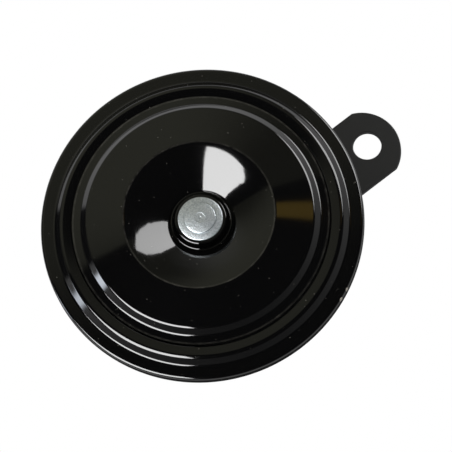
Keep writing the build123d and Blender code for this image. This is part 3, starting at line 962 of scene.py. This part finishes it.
class HORN_OT_strap_fixings(bpy.types.Operator):
    """Make the spacer, washers and nut that clamp the strap on the stud"""

    bl_idname = "horn.strap_fixings"
    bl_label = "Strap fixings"

    def execute(self, context):
        for node, radius in (("bracket_spacer", 9.0), ("bracket_washer", 8.0)):
            ring = ring_piece(
                f"{node}_turned", radius * MM, STUD_RADIUS, front_of(node), back_of(node), 0.2 * MM
            )
            zinc_plated(ring, node)

        front = front_of("bracket_spring_washer")
        back = back_of("bracket_spring_washer")
        outer = 6.4 * MM
        corners = [
            (STUD_RADIUS, front),
            (outer, front),
            (outer, back),
            (STUD_RADIUS, back),
            (STUD_RADIUS, front),
        ]
        spring = turned_piece("split_spring_washer", corners)
        split = block_piece("tool", (outer, 6 * MM, 1.0 * MM), Vector((0, 0, 0)))
        split.rotation_euler = (math.radians(20), 0, 0)
        split.location = at(outer, (front + back) / 2)
        settle(split)
        cut_by(spring, split)
        ease_edges(spring, 0.15 * MM)
        shade(spring)
        zinc_plated(spring, "bracket_spring_washer")

        front = front_of("bracket_nut")
        back = back_of("bracket_nut")
        across_flats = 13 * MM
        corner = across_flats / math.sqrt(3)
        bevel = corner - across_flats / 2
        slope = bevel * math.tan(math.radians(30))
        envelope = turned_piece(
            "tool",
            [
                (STUD_RADIUS, front),
                (corner - bevel, front),
                (corner, front - slope),
                (corner, back + slope),
                (corner - bevel, back),
                (STUD_RADIUS, back),
                (STUD_RADIUS, front),
            ],
        )
        object_mode()
        bpy.ops.mesh.primitive_cylinder_add(
            vertices=6,
            radius=corner,
            depth=front - back,
            location=at(0, (front + back) / 2),
            rotation=(QUARTER_TURN, 0, 0),
        )
        nut = settle(named(bpy.context.object, "hexagon_nut"))
        cut_by(nut, envelope, "INTERSECT")
        ease_edges(nut, 0.15 * MM, angle=25)
        shade(nut, math.radians(20))
        zinc_plated(nut, "bracket_nut")
        return {"FINISHED"}


# Rivets, adjusting screw, terminals and contact spring


def rivet_piece(name, shank, head, head_height, front, back):
    """Rivet on the horn's axis with rounded heads beyond the levels it clamps."""
    corners = [
        (0, front + head_height),
        (head, front + head_height),
        (head, front),
        (shank, front),
        (shank, back),
        (head, back),
        (head, back - head_height),
        (0, back - head_height),
    ]
    return turned_piece(name, corners, bends_mm(0.55, 0, 0, 0, 0, 0.55), steps=48)


def moved_to(piece, place):
    """Move a piece made on the horn's axis to stand on a place's axis."""
    piece.location = (place.x, 0, place.z - AXIS_Z)
    return settle(piece)


class HORN_OT_rivets(bpy.types.Operator):
    """Set the rivets of the yoke plate and the terminals"""

    bl_idname = "horn.rivets"
    bl_label = "Rivets"

    def execute(self, context):
        for kind, count in (("yoke_rivet", 3), ("terminal_rivet", 2)):
            height = 0.8 * MM
            front = front_of(f"{kind}_1") - height
            back = back_of(f"{kind}_1") + height
            pattern = rivet_piece("rivet", 1.6 * MM, 2.8 * MM, height, front, back)
            for index in range(1, count + 1):
                node = f"{kind}_{index}"
                rivet = moved_to(copy_of(pattern, f"{node}_set"), middle_of(node))
                shade(rivet)
                zinc_plated(rivet, node)
            bpy.data.objects.remove(pattern)
        return {"FINISHED"}


class HORN_OT_adjuster(bpy.types.Operator):
    """Turn the slotted adjusting screw and dab the sealing lacquer round it"""

    bl_idname = "horn.adjuster"
    bl_label = "Adjusting screw"

    def execute(self, context):
        place = middle_of("adjusting_screw")
        front = front_of("adjusting_screw")
        back = back_of("adjusting_screw")
        centre = Vector((place.x, BAND_Y, place.z))
        screw = turned_piece(
            "slotted_adjusting_screw",
            [
                (0, back),
                (3.4 * MM, back),
                (3.4 * MM, STEP_HEIGHT),
                (2.0 * MM, STEP_HEIGHT),
                (2.0 * MM, front),
                (0, front),
            ],
            bends_mm(0.3, 0, 0, 0),
            centre,
            steps=96,
        )
        slot_place = Vector((place.x, BAND_Y - back, place.z))
        slot = block_piece("tool", (12 * MM, 2.4 * MM, 1.0 * MM), slot_place, math.radians(155))
        cut_by(screw, slot)
        ease_edges(screw, 0.08 * MM)
        shade(screw)
        zinc_plated(screw, "adjusting_screw")

        inner = 3.42 * MM
        seal = turned_piece(
            "lacquer_seal",
            [
                (inner, STEP_HEIGHT),
                (inner, STEP_HEIGHT - 1.0 * MM),
                (inner + 0.9 * MM, STEP_HEIGHT - 0.7 * MM),
                (inner + 1.3 * MM, STEP_HEIGHT),
                (inner, STEP_HEIGHT),
            ],
            bends_mm(0.2, 0.6, 0.1),
            centre,
            steps=96,
        )
        shade(seal, math.radians(60))
        finish_piece(seal, "sealing_lacquer", "housing", "sealing_lacquer", "adjusting_screw_seal")
        return {"FINISHED"}


class HORN_OT_terminals(bpy.types.Operator):
    """Mould the terminal block and blank its two blade terminals"""

    bl_idname = "horn.terminals"
    bl_label = "Terminals"

    def execute(self, context):
        back = back_of("terminal_block")
        half_block = back + 6.8 * MM
        inner = 31.3 * MM
        outer = 40.0 * MM
        first = TERMINAL_ANGLE - TERMINAL_SPAN / 2
        corners = [
            at(inner, half_block, first),
            at(outer, half_block, first),
            at(outer, back, first),
            at(inner, back, first),
            at(inner, half_block, first),
        ]
        block = drawn_line("moulded_terminal_block", corners)
        weld_selected()
        bpy.ops.mesh.spin(steps=48, angle=TERMINAL_SPAN, center=at(0, 0), axis=BACK)
        bpy.ops.mesh.select_all(action="SELECT")
        bpy.ops.mesh.fill_holes(sides=4)
        face_outward()
        object_mode()
        for index in (1, 2):
            place = middle_of(f"terminal_blade_{index}")
            angle = math.atan2(place.z - AXIS_Z, place.x)
            middle = at(BLADE_RADIUS, back, angle)
            slot = block_piece("tool", (1.0 * MM, 3.6 * MM, 6.6 * MM), middle, angle)
            cut_by(block, slot)
        ease_edges(block, 0.6 * MM, segments=4, angle=60)
        shade(block)
        finish_piece(block, "moulded_black_nylon", "housing", "black_nylon", "terminal_block")

        for index in (1, 2):
            self.make_blade(f"terminal_blade_{index}")
        return {"FINISHED"}

    def make_blade(self, node):
        """Blade with a bevelled, pierced end and the narrower tab inside the housing."""
        place = middle_of(node)
        angle = math.atan2(place.z - AXIS_Z, place.x)
        tip = back_of(node)
        seat = back_of("terminal_block") + 5.0 * MM
        blade_size = (0.8 * MM, seat - tip, 6.3 * MM)
        blade = block_piece(f"{node}_blanked", blade_size, at(BLADE_RADIUS, (seat + tip) / 2))
        edit_all(blade)
        bpy.ops.mesh.select_all(action="DESELECT")
        mesh = bmesh.from_edit_mesh(blade.data)
        for edge in mesh.edges:
            ends = [vertex.co for vertex in edge.verts]
            at_tip = all(abs(BAND_Y - end.y - tip) < TOUCH for end in ends)
            if at_tip and abs(ends[0].z - ends[1].z) < TOUCH:
                edge.select = True
        bmesh.update_edit_mesh(blade.data)
        bpy.ops.mesh.bevel(offset=1.0 * MM, segments=1, affect="EDGES")
        object_mode()
        hole = bar_tool(0.8 * MM, 2 * MM, -2 * MM, None, steps=48)
        cut_by(blade, swung(hole, (0, 0, QUARTER_TURN), at(BLADE_RADIUS, tip + 3.5 * MM)))
        ease_edges(blade, 0.12 * MM)
        tab_front = front_of(node)
        tab_size = (0.8 * MM, tab_front - seat, 4.0 * MM)
        tab = block_piece("tab", tab_size, at(BLADE_RADIUS, (seat + tab_front) / 2))
        blade = shade(swung(joined([blade, tab]), (0, -angle, 0), at(0, 0)))
        finish_piece(blade, "tinned_brass_strip", "housing", "tinned_brass", node)


class HORN_OT_contact_spring(bpy.types.Operator):
    """Blank the breaker's leaf spring with its contact, cut across into 24 strips along its length"""

    bl_idname = "horn.contact_spring"
    bl_label = "Contact spring"

    def execute(self, context):
        low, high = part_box("moving_contact_spring")
        leaf_back = BAND_Y - high.y
        leaf_front = leaf_back + 0.3 * MM
        middle = (low + high) / 2
        place = Vector((middle.x, BAND_Y - (leaf_back + leaf_front) / 2, middle.z))
        leaf = block_piece("contact_leaf", (high.x - low.x, 0.3 * MM, 7.0 * MM), place)
        edit_all(leaf)
        for step in range(1, 24):
            across = low.x + (high.x - low.x) * step / 24
            bpy.ops.mesh.select_all(action="SELECT")
            bpy.ops.mesh.bisect(plane_co=(across, 0, 0), plane_no=(1, 0, 0))
        object_mode()
        contact_place = middle_of("fixed_contact_tip")
        contact_front = front_of("moving_contact_spring")
        contact = turned_piece(
            "contact",
            [(0, leaf_front), (2.0 * MM, leaf_front), (2.0 * MM, contact_front), (0, contact_front)],
            bends_mm(0, 0.15),
            steps=48,
        )
        moved_to(contact, contact_place)
        leaf = shade(joined([leaf, contact]))
        finish_piece(leaf, "tempered_spring_strip", None, "spring_steel", "moving_contact_spring")
        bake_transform(leaf)
        return {"FINISHED"}


# Studio


def softbox(name, lean, bearing, roll, width, height, watts):
    """Panel lamp a metre from the horn: lean off the horn's axis, bearing round it, and its own roll."""
    outward = math.cos(lean) * FRONT
    outward += math.sin(lean) * Vector((math.cos(bearing), 0, math.sin(bearing)))
    side = FRONT.cross(outward).normalized()
    rise = outward.cross(side)
    across = math.cos(roll) * side + math.sin(roll) * rise
    along = math.cos(roll) * rise - math.sin(roll) * side
    data = bpy.data.lights.new(name, "AREA")
    data.shape = "RECTANGLE"
    data.size = width
    data.size_y = height
    data.energy = watts
    lamp = bpy.data.objects.new(name, data)
    bpy.context.scene.collection.objects.link(lamp)
    turn = Matrix((across, along, outward)).transposed()
    lamp.matrix_world = Matrix.Translation(at(0, 5 * MM) + outward) @ turn.to_4x4()
    return lamp


def patch(tree, toward, start, full, under, over):
    """Lay one colour over another where the view turns toward a direction; start and full are cosines."""
    heading = add_node(tree, "ShaderNodeTexCoord").outputs["Generated"]
    turned = add_node(tree, "ShaderNodeVectorMath", {0: heading, 1: toward}, operation="DOT_PRODUCT")
    share = range_node(tree, turned.outputs["Value"], start, full, interpolation_type="SMOOTHSTEP")
    return mix_node(tree, share.outputs[0], under, over).outputs["Result"]


def studio_world():
    """White backdrop for the camera, plain ambient light on colours, and a dim room for what is mirrored."""
    world = bpy.data.worlds.new("studio")
    bpy.context.scene.world = world
    world.use_nodes = True
    tree = world.node_tree
    tree.nodes.clear()
    wall = patch(tree, BRIGHT_WALL, 0.74, 0.97, (0.10, 0.10, 0.08, 1), (0.31, 0.31, 0.245, 1))
    room = patch(tree, WALL_SIDE, 0.285, 0.315, (0.025, 0.025, 0.027, 1), wall)
    lamp_lit = patch(tree, WARM_LAMP, 0.9990, 0.9999, room, (0.65, 0.43, 0.10, 1))
    backdrop = patch(tree, BACK, -0.42, 0.3, lamp_lit, (0.85, 0.85, 0.85, 1))
    beneath = patch(tree, BACK, 0.7, 0.85, backdrop, (0.04, 0.04, 0.04, 1))
    stand = patch(tree, DARK_STAND, 0.955, 0.97, beneath, (0.03, 0.03, 0.032, 1))
    reflected = patch(tree, SMALL_WINDOW, 0.992, 0.997, stand, (8.0, 8.6, 9.5, 1))
    path = add_node(tree, "ShaderNodeLightPath")
    ambient = mix_node(tree, path.outputs["Is Glossy Ray"], (0.6, 0.6, 0.6, 1), reflected)
    white_for = {0: path.outputs["Is Camera Ray"], 1: path.outputs["Is Transmission Ray"]}
    seen = math_node(tree, "MAXIMUM", white_for)
    final = mix_node(tree, seen.outputs[0], ambient.outputs["Result"], (1, 1, 1, 1))
    background = add_node(tree, "ShaderNodeBackground", {"Color": final.outputs["Result"], "Strength": 1.0})
    add_node(tree, "ShaderNodeOutputWorld", {"Surface": background.outputs[0]})


def studio_floor(floor_colour, drop):
    """Plain pale floor that keeps the horn's shadow and lets the low panel's light through."""
    object_mode()
    bpy.ops.mesh.primitive_plane_add(size=12, location=(0, 0, -drop))
    floor = settle(named(bpy.context.object, "floor"))
    material = bpy.data.materials.new("pale_studio_floor")
    material.use_nodes = True
    tree = material.node_tree
    tree.nodes.clear()
    path = add_node(tree, "ShaderNodeLightPath")
    matt = add_node(tree, "ShaderNodeBsdfDiffuse", {"Color": floor_colour})
    glow = add_node(tree, "ShaderNodeEmission", {"Color": (1, 1, 1, 1), "Strength": 1.0})
    share = math_node(tree, "MULTIPLY", {0: path.outputs["Is Camera Ray"], 1: FLOOR_GLOW})
    surface = add_node(
        tree, "ShaderNodeMixShader", {0: share.outputs[0], 1: matt.outputs[0], 2: glow.outputs[0]}
    )
    add_node(tree, "ShaderNodeOutputMaterial", {"Surface": surface.outputs[0]})
    floor.data.materials.append(material)
    floor.visible_glossy = False
    floor.visible_shadow = False


def studio_camera(distance):
    """Camera in front of the horn and below it, rolled so that the strap points up to the right."""
    data = bpy.data.cameras.new("camera")
    data.lens = LENS_PER_METRE * distance
    data.sensor_width = 36
    data.clip_start = 0.05
    camera = bpy.data.objects.new("camera", data)
    bpy.context.scene.collection.objects.link(camera)
    azimuth = math.radians(16.73)
    elevation = math.radians(-5.915)
    roll = math.radians(52.81)
    back = Vector(
        (
            math.sin(azimuth) * math.cos(elevation),
            -math.cos(azimuth) * math.cos(elevation),
            math.sin(elevation),
        )
    )
    aim = Vector((5.03, -39.82, -52.31)) * MM
    turn = back.to_track_quat("Z", "Y").to_matrix() @ Matrix.Rotation(roll, 3, "Z")
    camera.matrix_world = Matrix.Translation(aim + back * distance) @ turn.to_4x4()
    bpy.context.scene.camera = camera


class HORN_OT_stage(bpy.types.Operator):
    """Set up the floor, backdrop, lamps and camera"""

    bl_idname = "horn.stage"
    bl_label = "Stage"

    def execute(self, context):
        studio = context.scene.horn_studio
        context.scene.view_settings.view_transform = "Standard"
        studio_world()
        studio_floor(context.scene.horn_colours.floor_colour, studio.floor_drop)
        low_aim = {"lean": 0.864, "bearing": -1.358, "roll": 0.566}
        high_aim = {"lean": 1.155, "bearing": 1.674, "roll": 0.387}
        key_aim = {"lean": math.radians(50), "bearing": math.radians(120), "roll": 0}
        low = softbox("low_softbox", width=0.73, height=0.664, watts=studio.low_softbox, **low_aim)
        high = softbox("high_softbox", width=0.566, height=0.581, watts=studio.high_softbox, **high_aim)
        key = softbox("key", width=0.8, height=0.8, watts=8, **key_aim)
        low.visible_diffuse = False
        high.visible_diffuse = False
        key.visible_glossy = False
        for lamp in (low, high, key):
            lamp.visible_camera = False
        studio_camera(studio.camera_distance)
        return {"FINISHED"}


OPERATORS = (
    HORN_OT_finishes,
    HORN_OT_front_ring,
    HORN_OT_tone_disc,
    HORN_OT_stem,
    HORN_OT_diaphragm,
    HORN_OT_rear_housing,
    HORN_OT_magnet_core,
    HORN_OT_mounting_strap,
    HORN_OT_strap_fixings,
    HORN_OT_rivets,
    HORN_OT_adjuster,
    HORN_OT_terminals,
    HORN_OT_contact_spring,
    HORN_OT_stage,
)


class HORN_PT_workshop(bpy.types.Panel):
    """Sizes, colours and the steps that make the horn"""

    bl_label = "Car horn"
    bl_idname = "HORN_PT_workshop"
    bl_space_type = "VIEW_3D"
    bl_region_type = "UI"
    bl_category = "Horn"

    def draw(self, context):
        layout = self.layout
        for group in (context.scene.horn_sizes, context.scene.horn_colours, context.scene.horn_studio):
            box = layout.box()
            for name in group.__annotations__:
                box.prop(group, name)
        for operator in OPERATORS:
            layout.operator(operator.bl_idname)


CLASSES = (HornSizes, HornColours, HornStudio, *OPERATORS, HORN_PT_workshop)


def register():
    for cls in CLASSES:
        bpy.utils.register_class(cls)
    bpy.types.Scene.horn_sizes = PointerProperty(type=HornSizes)
    bpy.types.Scene.horn_colours = PointerProperty(type=HornColours)
    bpy.types.Scene.horn_studio = PointerProperty(type=HornStudio)


def unregister():
    del bpy.types.Scene.horn_studio
    del bpy.types.Scene.horn_colours
    del bpy.types.Scene.horn_sizes
    for cls in reversed(CLASSES):
        bpy.utils.unregister_class(cls)


def main():
    register()
    bpy.ops.horn.finishes()
    bpy.ops.horn.front_ring()
    bpy.ops.horn.tone_disc()
    bpy.ops.horn.stem()
    bpy.ops.horn.diaphragm()
    bpy.ops.horn.rear_housing()
    bpy.ops.horn.magnet_core()
    bpy.ops.horn.mounting_strap()
    bpy.ops.horn.strap_fixings()
    bpy.ops.horn.rivets()
    bpy.ops.horn.adjuster()
    bpy.ops.horn.terminals()
    bpy.ops.horn.contact_spring()
    bpy.ops.horn.stage()


if __name__ == "__main__":
    main()
